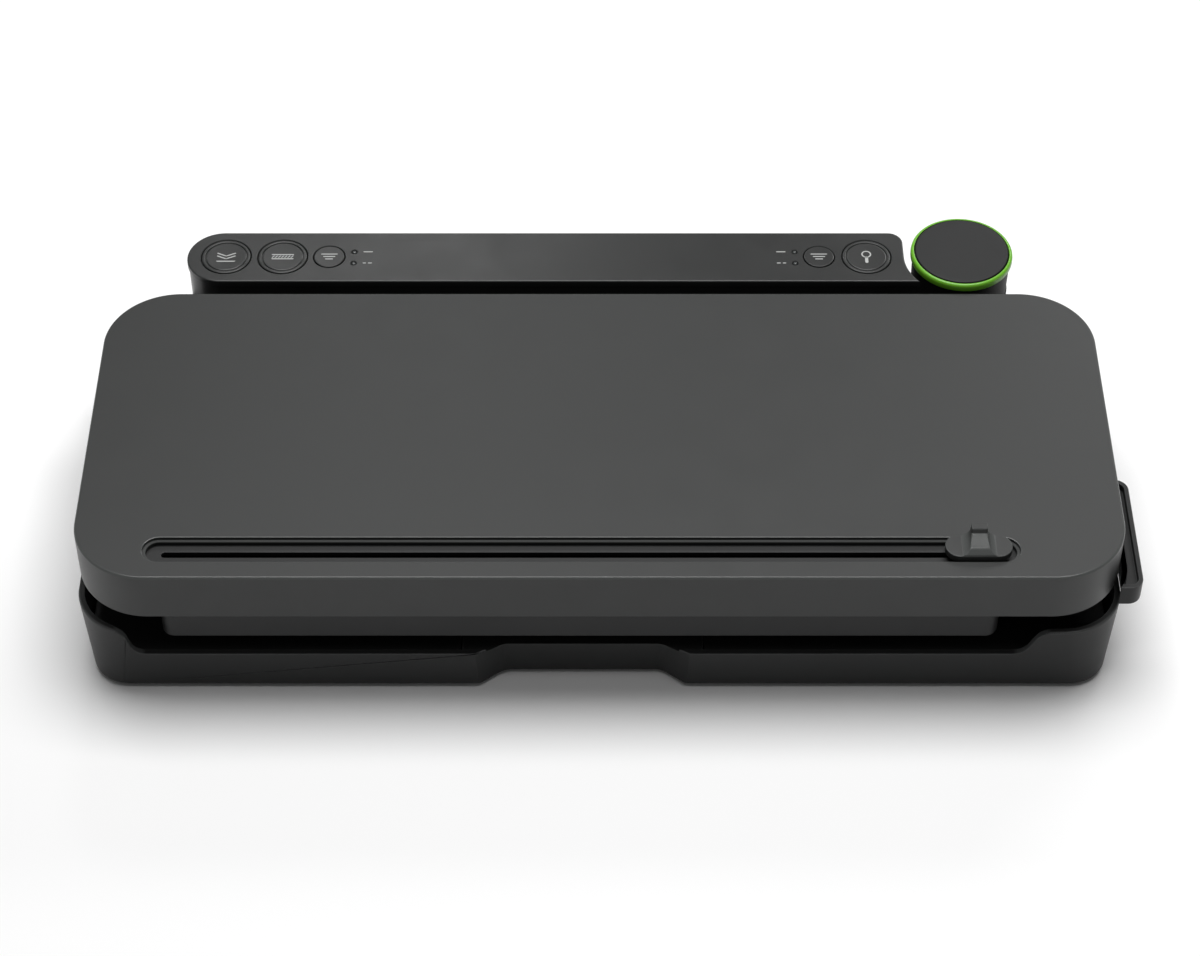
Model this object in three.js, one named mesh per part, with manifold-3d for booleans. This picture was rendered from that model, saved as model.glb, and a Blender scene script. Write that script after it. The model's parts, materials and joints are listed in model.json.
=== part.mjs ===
// Countertop vacuum sealer: a low base, a hinged lid with a built-in bag cutter, a rear control tower,
// a handheld sealer in its dock and a side latch lever. Millimetres, +Z up, +X to the operator's right.
// Inside the model group X is measured from the middle of the lid, Y from the lid's front face
// and Z from the surface that the feet stand on. The group is then shifted to the object's own centre.
import * as THREE from "three";
import { mergeVertices } from "three/addons/utils/BufferGeometryUtils.js";
import Module from "manifold-3d";

const wasm = await Module();
wasm.setup();

// Driving dimensions.
const GAP = 0.3; // clearance between touching pieces
const LID_HALF_WIDTH = 200;
const LID_DEPTH = 157;
const LID_TOP = 66;
const LID_EDGE = 44; // lower edge of the lid's outer wall
const LID_CORNER = 29;
const LID_WALL = 2.6;
const HINGE_Y = 145;
const HINGE_Z = 58;
const HINGE_X = 120;
const PIN_RADIUS = 2.5;

const SKIRT_LEFT = -168;
const SKIRT_RIGHT = 153;
const SKIRT_FRONT = 4.2;
const SKIRT_REAR = 78;
const SKIRT_EDGE = 27.9;

const RIM_HALF_WIDTH = 201.7;
const RIM_FRONT = 0.4;
const RIM_REAR = 201;
const RIM_TOP = 34;
const FOOT_HALF_WIDTH = 198;
const FOOT_FRONT = 2;
const FOOT_REAR = 198;
const TUB_BOTTOM = 2;
const TUB_WALL = 2.6;
const TUB_FLOOR = 4.6;
const RIM_CORNER = 24;
const FOOT_CORNER = 15;
const ENTRY_LEFT = -178.5;
const ENTRY_RIGHT = 163;
const ENTRY_TOP = 21.1;
const RECESS_LEFT = -47;
const RECESS_RIGHT = 34;
const RECESS_TOP = 19.7;
const RECESS_TOP_Y = 7.4; // the set-back wall leans: its upper edge is nearer the front
const RECESS_FOOT_Y = 9.6;
const RECESS_BACK = 12.4;
const PLINTH_TOP = 23;

const DECK_TOP = 20;
const DECK_THICKNESS = 2.4;
const HUMP_FRONT = 80;
const HUMP_REAR = 98;
const HUMP_TOP = 30;

const CUTTER_Y = 14.6;
const SLOT_LEFT = -172.7;
const SLOT_RIGHT = 158.9;
const SLOT_WIDTH = 12.3;
const SLIDER_X = 143;
const SLIDER_LENGTH = 25.4;
const SLIDER_WIDTH = 11.3;
const NECK_WIDTH = 1.8; // the slider's neck, in the rail's narrow slit
const SLIDER_RISE = 2.2; // the slider's flat ends stand this far above the lid

const SEAL_Y = 25;
const GASKET = { left: -160, right: 142, front: 34, rear: 77, corner: 10, width: 5 };

const PANEL_FRONT = 164.2;
const PANEL_REAR = 194.2;
const PANEL_LEFT = -171;
const PANEL_RIGHT = 126.3;
const PANEL_THICKNESS = 2.4;
const TOWER_WALL = 2.2;
const BUTTON_Y = 179.2;
const BUTTON_GAP = 0.4;
const BUTTONS = [
  { name: "vacuum_button", x: -154.8, radius: 10.1 },
  { name: "seal_button", x: -131.4, radius: 10.1 },
  { name: "food_mode_button", x: -112.1, radius: 6.3 },
  { name: "task_mode_button", x: 91, radius: 6.2 },
  { name: "handheld_button", x: 110.7, radius: 10 },
];
const LIGHTS = [
  { x: -101.8, y: 182.2 },
  { x: -101.8, y: 175.3 },
  { x: 81, y: 182.2 },
  { x: 81, y: 175.3 },
];

const DOCK_X = 150;
const DOCK_Y = 179.5;
const RING_RADIUS = 21.1;
const DOCK_CLEARANCE = 23.7; // radius of the tower's hollow round the handheld sealer
const HANDHELD_TOP = LID_TOP + 3;

const SHAFT_Y = 88;
const SHAFT_Z = 24;
const SHAFT_RADIUS = 4;
const HOOK_X = 176;
const LEVER_FRONT = 12;
const LEVER_REAR = 69.5;
const LEVER_OUTER = 208;
const LEVER_INNER = RIM_HALF_WIDTH + 0.4;
const LEVER_ARM = 202.4;
const LEVER_TOP = 47;
const LEVER_BOTTOM = 37.7;
const LEVER_WALL_BOTTOM = 31; // an inner wall hangs down beside the base's rim and hides the gap
const LEVER_WALL_FRONT = 18;
const LEVER_WALL = 1.2;

const MOTOR_Y = 179.2;
const MOTOR_Z = 24;
const MOTOR_RADIUS = 11;
const BOARD_Z = 50;
const GLAND_X = 60;
const GLAND_Z = 11;

// The lever stands out on the right only, so the whole is wider on that side.
const SHIFT_X = -(LEVER_OUTER - RIM_HALF_WIDTH) / 2;
const SHIFT_Y = -RIM_REAR / 2;

// ---- Helpers: outlines, lofts and booleans ----

// A closed outline with rounded corners, as plain points. Corners are [x, y, radius], anticlockwise.
function rounded(corners, segments = 4) {
  const points = [];
  corners.forEach(([x, y, radius = 0], i) => {
    const here = new THREE.Vector2(x, y);
    if (!radius) {
      points.push(here);
      return;
    }
    const last = corners[(i + corners.length - 1) % corners.length];
    const next = corners[(i + 1) % corners.length];
    const back = new THREE.Vector2(last[0], last[1]).sub(here).normalize();
    const ahead = new THREE.Vector2(next[0], next[1]).sub(here).normalize();
    const half = Math.acos(THREE.MathUtils.clamp(back.dot(ahead), -1, 1)) / 2;
    const reach = radius / Math.tan(half);
    const toCentre = back.clone().add(ahead).normalize();
    const centre = here.clone().addScaledVector(toCentre, radius / Math.sin(half));
    const from = here.clone().addScaledVector(back, reach).sub(centre);
    const turn = (back.cross(ahead) < 0 ? 1 : -1) * (Math.PI - 2 * half);
    for (let k = 0; k <= segments; k++) {
      const step = from.clone().rotateAround(new THREE.Vector2(), (turn * k) / segments);
      points.push(step.add(centre));
    }
  });
  return points;
}

function rectangle(x0, y0, x1, y1, radius = 0, segments = 4) {
  return rounded([[x0, y0, radius], [x1, y0, radius], [x1, y1, radius], [x0, y1, radius]], segments);
}

function circle(x, y, radius, segments = 28) {
  const points = [];
  for (let k = 0; k < segments; k++) {
    const angle = (2 * Math.PI * k) / segments;
    points.push(new THREE.Vector2(x + radius * Math.cos(angle), y + radius * Math.sin(angle)));
  }
  return points;
}

function stadium(x0, x1, y, width, segments = 7) {
  return rectangle(x0, y - width / 2, x1, y + width / 2, width / 2 - 0.001, segments);
}

// A closed manifold from stacked outlines that all have the same number of points.
function loft(levels) {
  const count = levels[0].points.length;
  const positions = [];
  levels.forEach(({ points, z }) => points.forEach((p) => positions.push(p.x, p.y, z)));
  const index = [];
  for (let level = 0; level + 1 < levels.length; level++) {
    for (let i = 0; i < count; i++) {
      const a = level * count + i;
      const b = level * count + ((i + 1) % count);
      index.push(a, b, b + count, a, b + count, a + count);
    }
  }
  const top = (levels.length - 1) * count;
  THREE.ShapeUtils.triangulateShape(levels[0].points, []).forEach(([a, b, c]) => index.push(c, b, a));
  THREE.ShapeUtils.triangulateShape(levels[levels.length - 1].points, []).forEach(([a, b, c]) => {
    index.push(top + a, top + b, top + c);
  });
  const geometry = new THREE.BufferGeometry();
  geometry.setAttribute("position", new THREE.Float32BufferAttribute(positions, 3));
  geometry.setIndex(index);
  return solid(geometry);
}

function plate(outline, z0, z1) {
  const points = THREE.ShapeUtils.isClockWise(outline) ? [...outline].reverse() : outline;
  return loft([{ points, z: z0 }, { points, z: z1 }]);
}

// A plate whose lower and upper edges are chamfered.
function softPlate(outline, z0, z1, edge) {
  return loft([
    { points: outline(edge), z: z0 },
    { points: outline(0), z: z0 + edge },
    { points: outline(0), z: z1 - edge },
    { points: outline(edge), z: z1 },
  ]);
}

function solid(geometry) {
  const bare = geometry.clone();
  bare.deleteAttribute("normal");
  bare.deleteAttribute("uv");
  const merged = mergeVertices(bare, 1e-4);
  return new wasm.Manifold(
    new wasm.Mesh({
      numProp: 3,
      vertProperties: new Float32Array(merged.attributes.position.array),
      triVerts: new Uint32Array(merged.index.array),
    }),
  );
}

function box(x0, x1, y0, y1, z0, z1) {
  const geometry = new THREE.BoxGeometry(x1 - x0, y1 - y0, z1 - z0);
  geometry.translate((x0 + x1) / 2, (y0 + y1) / 2, (z0 + z1) / 2);
  return solid(geometry);
}

function disc(x, y, radius, z0, z1, segments = 28) {
  return plate(circle(x, y, radius, segments), z0, z1);
}

// A bar along X whose outline is given in the (Y, Z) plane.
function barX(points, x0, x1) {
  return plate(points, x0, x1).transform([0, 1, 0, 0, 0, 0, 1, 0, 1, 0, 0, 0, 0, 0, 0, 1]);
}

// A bar along Y whose outline is given in the (X, Z) plane.
function barY(points, y0, y1) {
  return plate(points, -y1, -y0).transform([1, 0, 0, 0, 0, 0, 1, 0, 0, -1, 0, 0, 0, 0, 0, 1]);
}

function rodX(y, z, radius, x0, x1, segments = 20) {
  return barX(circle(y, z, radius, segments), x0, x1);
}

function rodY(x, z, radius, y0, y1, segments = 20) {
  return barY(circle(x, z, radius, segments), y0, y1);
}

function revolve(profile, x, y, segments = 40) {
  const points = profile.map(([radius, z]) => new THREE.Vector2(radius, z));
  const geometry = new THREE.LatheGeometry(points, segments);
  geometry.rotateX(Math.PI / 2);
  geometry.translate(x, y, 0);
  return solid(geometry);
}

function join(...pieces) {
  return pieces.reduce((a, b) => a.add(b));
}

function cut(body, ...tools) {
  return tools.reduce((a, b) => a.subtract(b), body);
}

function sweep(points, radius, steps, sides = 8) {
  const path = new THREE.CatmullRomCurve3(points.map((p) => new THREE.Vector3(...p)));
  const section = new THREE.Shape(circle(0, 0, radius, sides));
  return solid(new THREE.ExtrudeGeometry(section, { steps, extrudePath: path, bevelEnabled: false }));
}

const model = new THREE.Group();

function add(name, body, color, roughness = 0.5, metalness = 0) {
  const { vertProperties, triVerts } = body.getMesh();
  const geometry = new THREE.BufferGeometry();
  geometry.setAttribute("position", new THREE.BufferAttribute(vertProperties, 3));
  geometry.setIndex(new THREE.BufferAttribute(triVerts, 1));
  geometry.computeVertexNormals();
  const mesh = new THREE.Mesh(geometry, new THREE.MeshStandardMaterial({ color, roughness, metalness }));
  mesh.name = name;
  model.add(mesh);
}

const LID_COLOR = 0x3b3e3d;
const BASE_COLOR = 0x232524;
const TOWER_COLOR = 0x303231;
const DARK = 0x151616;
const RUBBER = 0x1c1c1d;
const STEEL = 0xb8bcc0;
const BOARD = 0x1d5a34;

// ---- Lid ----

function lidOutline(inset) {
  const w = LID_HALF_WIDTH - inset;
  return rectangle(-w, inset, w, LID_DEPTH - inset, LID_CORNER - inset, 8);
}

// The notches in the lid's rear wall that let it swing past the hinge brackets.
function hingeNotches(z0, z1) {
  const notch = (x) => box(x - 7, x + 7, HINGE_Y - 9, LID_DEPTH + 1, z0, z1);
  return join(notch(-HINGE_X), notch(HINGE_X));
}

function lidShell() {
  const outer = loft([
    { points: lidOutline(0.6), z: LID_EDGE },
    { points: lidOutline(0), z: LID_EDGE + 0.8 },
    { points: lidOutline(0), z: LID_TOP - 1.3 },
    { points: lidOutline(0.35), z: LID_TOP - 0.4 },
    { points: lidOutline(1.3), z: LID_TOP },
  ]);
  return cut(
    outer,
    plate(lidOutline(LID_WALL), LID_EDGE - 1, LID_TOP - 2.8),
    plate(stadium(SLOT_LEFT, SLOT_RIGHT, CUTTER_Y, SLOT_WIDTH), LID_TOP - 1.2, LID_TOP + 1),
    plate(stadium(SLOT_LEFT + 1.2, SLOT_RIGHT - 1.2, CUTTER_Y, SLOT_WIDTH - 2.4), LID_TOP - 4, LID_TOP),
    hingeNotches(LID_EDGE - 1, HINGE_Z + 4.5),
  );
}

// Two lugs on each side of a hinge bracket carry the pin.
function lidLugs(z0) {
  const lug = (x) =>
    cut(
      barX(rectangle(HINGE_Y - 4.6, z0, HINGE_Y + 4.6, HINGE_Z + 4.6, 0), x - 2, x + 2),
      rodX(HINGE_Y, HINGE_Z, PIN_RADIUS + GAP, x - 3, x + 3),
    );
  return join(...[-HINGE_X, HINGE_X].flatMap((x) => [lug(x - 11), lug(x + 11)]));
}

// The latch hooks pull on these two hanging feet.
function lidCatches(z1) {
  const catchAt = (x) =>
    join(box(x - 4, x + 4, 66, 68.5, 31.5, z1), box(x - 4, x + 4, 66, 79, 31.5, 33.5));
  return join(catchAt(-HOOK_X), catchAt(HOOK_X));
}

function gasketRing(inset, z0, z1) {
  const { left, right, front, rear, corner, width } = GASKET;
  const outer = rectangle(left + inset, front + inset, right - inset, rear - inset, corner - inset);
  const far = width - inset;
  const inner = rectangle(left + far, front + far, right - far, rear - far, corner - far);
  return cut(plate(outer, z0, z1), plate(inner, z0 - 1, z1 + 1));
}

function lidInner() {
  const panelTop = LID_EDGE + 2.8;
  const panel = plate(lidOutline(LID_WALL + GAP), LID_EDGE + 0.5, panelTop);
  const skirt = (inset) =>
    rectangle(
      SKIRT_LEFT + inset, SKIRT_FRONT + inset, SKIRT_RIGHT - inset, SKIRT_REAR - inset, 5 - inset / 2,
    );
  const skirtBody = loft([
    { points: skirt(0.8), z: SKIRT_EDGE },
    { points: skirt(0), z: SKIRT_EDGE + 0.8 },
    { points: skirt(0), z: panelTop },
  ]);
  const { left, right, front, rear, width } = GASKET;
  const channel = rectangle(left + width + 3, front + width + 3, right - width - 3, rear - width - 3, 4);
  return cut(
    join(panel, skirtBody, lidLugs(LID_EDGE + 0.5), lidCatches(panelTop)),
    plate(skirt(2.5), SKIRT_EDGE + 5.5, panelTop + 1),
    plate(channel, SKIRT_EDGE - 1, SKIRT_EDGE + 3),
    gasketRing(0, SKIRT_EDGE - 1, SKIRT_EDGE + 2.2),
    box(left + 2, right - 2, SEAL_Y - 3.5, SEAL_Y + 3.5, SKIRT_EDGE - 1, SKIRT_EDGE + 2.2),
    box(SLOT_LEFT + 8, SKIRT_RIGHT - 1.6, CUTTER_Y - 2, CUTTER_Y + 2, SKIRT_EDGE - 1, panelTop + 1),
    hingeNotches(LID_EDGE - 1, panelTop + 1),
  );
}

// The thumb grip: a tall flat horn at the rear, then a slope down to a blunt front.
const GRIP_PROFILE = [
  [9, 2], [20, 2], [20, 8], [19.3, 8.8], [17, 8.8], [16.8, 6.9], [15.8, 6.3], [11, 4.2], [9.3, 2.6],
];

function cutterSlider() {
  const z = LID_TOP;
  const half = SLIDER_LENGTH / 2;
  const body = softPlate(
    (inset) =>
      stadium(SLIDER_X - half + inset, SLIDER_X + half - inset, CUTTER_Y, SLIDER_WIDTH - 2 * inset),
    z - 0.9, z + SLIDER_RISE, 0.3,
  );
  const profile = GRIP_PROFILE.map(([y, rise]) => new THREE.Vector2(y, z + rise));
  const fin = barX(profile, SLIDER_X - 3.1, SLIDER_X + 3.1);
  const flare = (rise, width) => {
    const lower = [[9.2, 1.5], [20, 1.5], [20, rise], [11.5, rise]];
    return barX(lower.map(([y, up]) => new THREE.Vector2(y, z + up)), SLIDER_X - width, SLIDER_X + width);
  };
  const neck = box(SLIDER_X - 4, SLIDER_X + 4, CUTTER_Y - NECK_WIDTH / 2, CUTTER_Y + NECK_WIDTH / 2, z - 7, z);
  return join(body, fin, flare(2.9, 6.6), flare(3.6, 5), flare(4.6, 4), neck);
}

function cutterRail() {
  const outline = stadium(SLOT_LEFT - 3, SLOT_RIGHT + 3, CUTTER_Y, 19);
  return cut(
    plate(outline, LID_TOP - 5.4, LID_TOP - 3.1),
    plate(stadium(SLOT_LEFT + 7, SLOT_RIGHT - 5, CUTTER_Y, NECK_WIDTH + 0.8), LID_TOP - 6, LID_TOP),
  );
}

function bladeCarrier() {
  const z1 = LID_TOP - 7 - GAP;
  const outline = (inset) => rectangle(SLIDER_X - 8 + inset, 9 + inset, SLIDER_X + 8 - inset, 20.2 - inset, 2);
  return softPlate(outline, z1 - 5, z1, 0.4);
}

// A slanted steel blade that hangs from the carrier to just below the skirt.
function cutterBlade() {
  const z1 = LID_TOP - 12 - 2 * GAP;
  const outline = [[-4, z1], [-4, 32], [0, 25.2], [4, 32], [4, z1]];
  return barY(outline.map(([x, z]) => new THREE.Vector2(SLIDER_X + x, z)), CUTTER_Y - 0.4, CUTTER_Y + 0.4);
}

add("lid_shell", lidShell(), LID_COLOR, 0.42);
add("lid_inner", lidInner(), BASE_COLOR, 0.5);
add("upper_gasket", gasketRing(GAP, SKIRT_EDGE - 0.8, SKIRT_EDGE + 1.9), RUBBER, 0.85);
add("seal_pad",
  box(GASKET.left + 3, GASKET.right - 3, SEAL_Y - 3, SEAL_Y + 3, SKIRT_EDGE - 0.3, SKIRT_EDGE + 1.9),
  0x5a2a22, 0.8);
add("cutter_rail", cutterRail(), DARK, 0.5);
add("cutter_slider", cutterSlider(), BASE_COLOR, 0.35);
add("blade_carrier", bladeCarrier(), DARK, 0.5);
add("cutter_blade", cutterBlade(), STEEL, 0.25, 1);

// ---- Base ----

function tubOutline(t, inset) {
  const mix = (a, b) => a + (b - a) * t;
  const w = mix(FOOT_HALF_WIDTH, RIM_HALF_WIDTH) - inset;
  const front = mix(FOOT_FRONT, RIM_FRONT) + inset;
  const rear = mix(FOOT_REAR, RIM_REAR) - inset;
  return rectangle(-w, front, w, rear, mix(FOOT_CORNER, RIM_CORNER) - inset, 7);
}

function tubShare(z) {
  return (z - TUB_BOTTOM) / (RIM_TOP - TUB_BOTTOM);
}

// The wide low opening in the front wall where the bag goes in, with a soft step at each end.
function entryCut() {
  const profile = rounded([
    [ENTRY_LEFT, ENTRY_TOP, 5], [ENTRY_RIGHT, ENTRY_TOP, 6], [ENTRY_RIGHT + 6, RIM_TOP, 6],
    [ENTRY_RIGHT + 13, RIM_TOP, 0], [ENTRY_RIGHT + 13, RIM_TOP + 3, 0],
    [ENTRY_LEFT - 11, RIM_TOP + 3, 0], [ENTRY_LEFT - 11, RIM_TOP, 0],
    [ENTRY_LEFT - 4, RIM_TOP, 5],
  ]);
  return barY(profile, RIM_FRONT - 2, 26);
}

// A finger recess in the middle of the front wall: the wall steps back and its top drops a little.
function recessOutline(y) {
  return rounded([
    [RECESS_LEFT - 10, -4], [RECESS_RIGHT + 10, -4], [RECESS_RIGHT + 1, 1, 3],
    [RECESS_RIGHT - 10, y, 8], [RECESS_LEFT + 10, y, 8], [RECESS_LEFT - 1, 1, 3],
  ]);
}

function recessCut() {
  return loft([
    { points: recessOutline(RECESS_FOOT_Y), z: TUB_BOTTOM - 1 },
    { points: recessOutline(RECESS_TOP_Y), z: RECESS_TOP },
    { points: recessOutline(RECESS_TOP_Y), z: RIM_TOP },
  ]);
}

function tubVents() {
  const slots = [];
  for (let i = 0; i < 9; i++) {
    const x = -150 + i * 9;
    slots.push(box(x, x + 4, RIM_REAR - 12, RIM_REAR + 1, 9, 19));
  }
  return join(...slots);
}

function baseTub() {
  const level = (z, inset) => ({ points: tubOutline(tubShare(z), inset), z });
  const outer = loft([
    level(TUB_BOTTOM, 0.8), level(TUB_BOTTOM + 0.8, 0), level(RIM_TOP - 0.7, 0), level(RIM_TOP, 0.6),
  ]);
  const cavity = loft([level(TUB_FLOOR, TUB_WALL), level(RIM_TOP + 2, TUB_WALL)]);
  const recessWall = box(RECESS_LEFT - 6, RECESS_RIGHT + 6, 3, RECESS_BACK, TUB_BOTTOM, RECESS_TOP);
  const cradle = (x, z) => box(x, x + 4, MOTOR_Y - 9, MOTOR_Y + 9, TUB_FLOOR - 1, z);
  const cradles = [cradle(-50, 12.5), cradle(-32, 12.5), cradle(14, 11.7), cradle(34, 11.7),
    cradle(64, 11.7), cradle(-166, 7.7), cradle(-100, 7.7)];
  const shell = join(cut(outer, cavity), recessWall, ...cradles);
  const rearDrop = box(-RIM_HALF_WIDTH - 1, RIM_HALF_WIDTH + 1, 160, RIM_REAR + 1, PLINTH_TOP, RIM_TOP + 3);
  const feet = footPlaces().map(([x, y]) => disc(x, y, 8.3, TUB_BOTTOM - 1, TUB_BOTTOM + 1.2, 16));
  return cut(
    shell,
    entryCut(),
    recessCut(),
    rearDrop,
    rodX(SHAFT_Y, SHAFT_Z, SHAFT_RADIUS + 1.2, RIM_HALF_WIDTH - 8, RIM_HALF_WIDTH + 2),
    rodY(GLAND_X, GLAND_Z, 5.5, RIM_REAR - 8, RIM_REAR + 1),
    ...screwPlaces().map(([x, y]) => disc(x, y, 2, TUB_BOTTOM - 1, TUB_FLOOR + 1, 10)),
    ...screwPlaces().map(([x, y]) => disc(x, y, 4, TUB_BOTTOM - 1, TUB_BOTTOM + 1.7, 14)),
    tubVents(),
    ...feet,
  );
}

function footPlaces() {
  return [[-170, 22], [170, 22], [-170, 174], [170, 174]];
}

function screwPlaces() {
  return [[-186, 112], [-62, 112], [62, 112], [186, 112]];
}

function pocketWalls(x0, x1, y0, y1, z0) {
  return box(x0 - 2.2, x1 + 2.2, y0 - 2.2, y1 + 2.2, z0 - 2.2, DECK_TOP - DECK_THICKNESS + 0.1);
}

const TRAY_WELL = [-148, 130, 40, 71, 7.6];
const SEAL_WELL = [-158, 140, SEAL_Y - 4, SEAL_Y + 4, 12];
const BLADE_WELL = [-164, 150, CUTTER_Y - 1.2, CUTTER_Y + 1.2, 14.6];

function baseDeck() {
  const z0 = DECK_TOP - DECK_THICKNESS;
  const outline = tubOutline(tubShare(z0), TUB_WALL + GAP);
  const hump = box(-190, 190, HUMP_FRONT, HUMP_REAR, z0, HUMP_TOP);
  const plinth = plate(outline, z0, PLINTH_TOP).intersect(box(-200, 200, 160.5, RIM_REAR, 0, 40));
  const boss = ([x, y]) => disc(x, y, 4.4, TUB_FLOOR + GAP, z0 + 0.1, 12);
  const wells = [TRAY_WELL, SEAL_WELL, BLADE_WELL];
  const body = join(
    plate(outline, z0, DECK_TOP),
    hump,
    plinth,
    ...wells.map((w) => pocketWalls(...w)),
    ...screwPlaces().map(boss),
  );
  const hookSlot = (x) => box(x - 5, x + 5, HUMP_FRONT - 1, 93, 25, HUMP_TOP + 1);
  const well = ([x0, x1, y0, y1, depth]) => box(x0, x1, y0, y1, depth, DECK_TOP + 1);
  return cut(
    body,
    ...wells.map(well),
    gasketRing(0, DECK_TOP - 1.8, DECK_TOP + 1),
    box(-186, 186, HUMP_FRONT + 2.4, HUMP_REAR - 2.4, z0 - 1, HUMP_TOP - 2),
    rodX(SHAFT_Y, SHAFT_Z, SHAFT_RADIUS + GAP, -191, 191),
    hookSlot(-HOOK_X), hookSlot(HOOK_X),
    box(RECESS_LEFT - 6.4, RECESS_RIGHT + 6.4, -1, RECESS_BACK + GAP, TUB_FLOOR, DECK_TOP + 1),
    box(PANEL_LEFT + 13, 118, 167, 191, z0 - 9, PLINTH_TOP + 1),
    disc(DOCK_X, DOCK_Y, 5, z0 - 1, PLINTH_TOP + 1, 20),
    ...screwPlaces().map(([x, y]) => disc(x, y, 1.8, TUB_FLOOR, z0 - 2, 10)),
  );
}

function hingeBracket(x) {
  const head = circle(HINGE_Y, HINGE_Z, 4.6, 20);
  return cut(
    join(
      barX(head, x - 5, x + 5),
      box(x - 5, x + 5, HINGE_Y - 4.5, HINGE_Y + 4.5, DECK_TOP + GAP, HINGE_Z),
      box(x - 9, x + 9, HINGE_Y - 9, HINGE_Y + 9, DECK_TOP + GAP, DECK_TOP + 3),
    ),
    rodX(HINGE_Y, HINGE_Z, PIN_RADIUS + GAP, x - 6, x + 6),
  );
}

function foot([x, y]) {
  return revolve([[0, 0], [6.6, 0], [7.6, 0.7], [8, 1.8], [8, 2.9], [0, 2.9]], x, y, 16);
}

function baseScrew([x, y]) {
  const z = TUB_BOTTOM + 0.2;
  const body = revolve([[0, z], [3.2, z], [3.6, z + 0.5], [3.6, z + 1.2], [1.5, z + 1.2], [1.5, 13], [0, 14.5]], x, y, 12);
  return cut(body, box(x - 2.2, x + 2.2, y - 0.4, y + 0.4, z - 1, z + 0.6), box(x - 0.4, x + 0.4, y - 2.2, y + 2.2, z - 1, z + 0.6));
}

function dripTray() {
  const [x0, x1, y0, y1, z] = TRAY_WELL;
  const top = DECK_TOP - 0.8;
  const tray = loft([
    { points: rectangle(x0 + 3, y0 + 2.4, x1 - 3, y1 - 2.4, 3, 4), z: z + GAP },
    { points: rectangle(x0 + 0.6, y0 + 0.6, x1 - 0.6, y1 - 0.6, 3, 4), z: top },
  ]);
  const hollow = loft([
    { points: rectangle(x0 + 4.6, y0 + 4, x1 - 4.6, y1 - 4, 2.5, 4), z: z + 1.7 },
    { points: rectangle(x0 + 2.2, y0 + 2.2, x1 - 2.2, y1 - 2.2, 2.5, 4), z: top + 0.2 },
  ]);
  const tab = box(x1 - 14, x1 - 1.5, 50, 61, top - 1.6, top);
  return join(cut(tray, hollow), tab);
}

function drawBar(name, inset, z0, z1, color, roughness, metalness = 0) {
  const [x0, x1] = SEAL_WELL;
  add(name, box(x0 + 0.5, x1 - 0.5, SEAL_Y - inset, SEAL_Y + inset, z0, z1), color, roughness, metalness);
}

add("base_tub", baseTub(), BASE_COLOR, 0.45);
add("base_deck", baseDeck(), DARK, 0.5);
footPlaces().forEach((place, i) => add(`foot_${i + 1}`, foot(place), RUBBER, 0.9));
screwPlaces().forEach((place, i) => add(`base_screw_${i + 1}`, baseScrew(place), STEEL, 0.35, 1));
add("drip_tray", dripTray(), 0x2b2d2d, 0.4);
add("lower_gasket", gasketRing(GAP, DECK_TOP - 1.5, DECK_TOP + 2.4), RUBBER, 0.85);
drawBar("seal_bar", 3.6, 12.3, 20.6, 0x3a3a3a, 0.6);
drawBar("heating_strip", 2, 20.9, 21.2, STEEL, 0.3, 1);
drawBar("ptfe_tape", 3.3, 21.5, 21.8, 0x8a7a5a, 0.6);
add("hinge_bracket_left", hingeBracket(-HINGE_X), BASE_COLOR, 0.5);
add("hinge_bracket_right", hingeBracket(HINGE_X), BASE_COLOR, 0.5);
add("hinge_pin_left", rodX(HINGE_Y, HINGE_Z, PIN_RADIUS, -HINGE_X - 14, -HINGE_X + 14), STEEL, 0.3, 1);
add("hinge_pin_right", rodX(HINGE_Y, HINGE_Z, PIN_RADIUS, HINGE_X - 14, HINGE_X + 14), STEEL, 0.3, 1);

function cordGland() {
  return cut(
    join(
      rodY(GLAND_X, GLAND_Z, 5.2, RIM_REAR - 7, RIM_REAR - 1, 20),
      rodY(GLAND_X, GLAND_Z, 7, RIM_REAR - 1.2, RIM_REAR, 24),
    ),
    rodY(GLAND_X, GLAND_Z, 3.4, RIM_REAR - 8, RIM_REAR + 1, 20),
  );
}

add("cord_gland", cordGland(), RUBBER, 0.8);

// ---- Rear control tower ----

// A full round at the left; at the right a rounded rear corner and a hollow round the handheld sealer.
function panelOutline(inset) {
  const middle = (PANEL_FRONT + PANEL_REAR) / 2;
  const radius = (PANEL_REAR - PANEL_FRONT) / 2 - inset;
  const points = [];
  for (let k = 0; k <= 16; k++) {
    const angle = Math.PI / 2 + (Math.PI * k) / 16;
    points.push(new THREE.Vector2(
      PANEL_LEFT + inset + radius + radius * Math.cos(angle), middle + radius * Math.sin(angle),
    ));
  }
  const hollow = DOCK_CLEARANCE + inset;
  const fromAngle = Math.asin((PANEL_FRONT + inset - DOCK_Y) / hollow);
  for (let k = 0; k <= 8; k++) {
    const angle = fromAngle * (1 - k / 8);
    points.push(new THREE.Vector2(DOCK_X - hollow * Math.cos(angle), DOCK_Y + hollow * Math.sin(angle)));
  }
  const right = DOCK_X - hollow;
  const corner = 6 - inset;
  for (let k = 0; k <= 6; k++) {
    const angle = (Math.PI / 2) * (k / 6);
    points.push(new THREE.Vector2(
      right - corner + corner * Math.cos(angle), PANEL_REAR - inset - corner + corner * Math.sin(angle),
    ));
  }
  return points;
}

const COVER_BOTTOM = LID_TOP - 3.1;

function panelHousing() {
  const body = plate(panelOutline(0.5), PLINTH_TOP + GAP, COVER_BOTTOM - GAP);
  return cut(body, plate(panelOutline(0.5 + TOWER_WALL), PLINTH_TOP - 1, LID_TOP));
}

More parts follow.
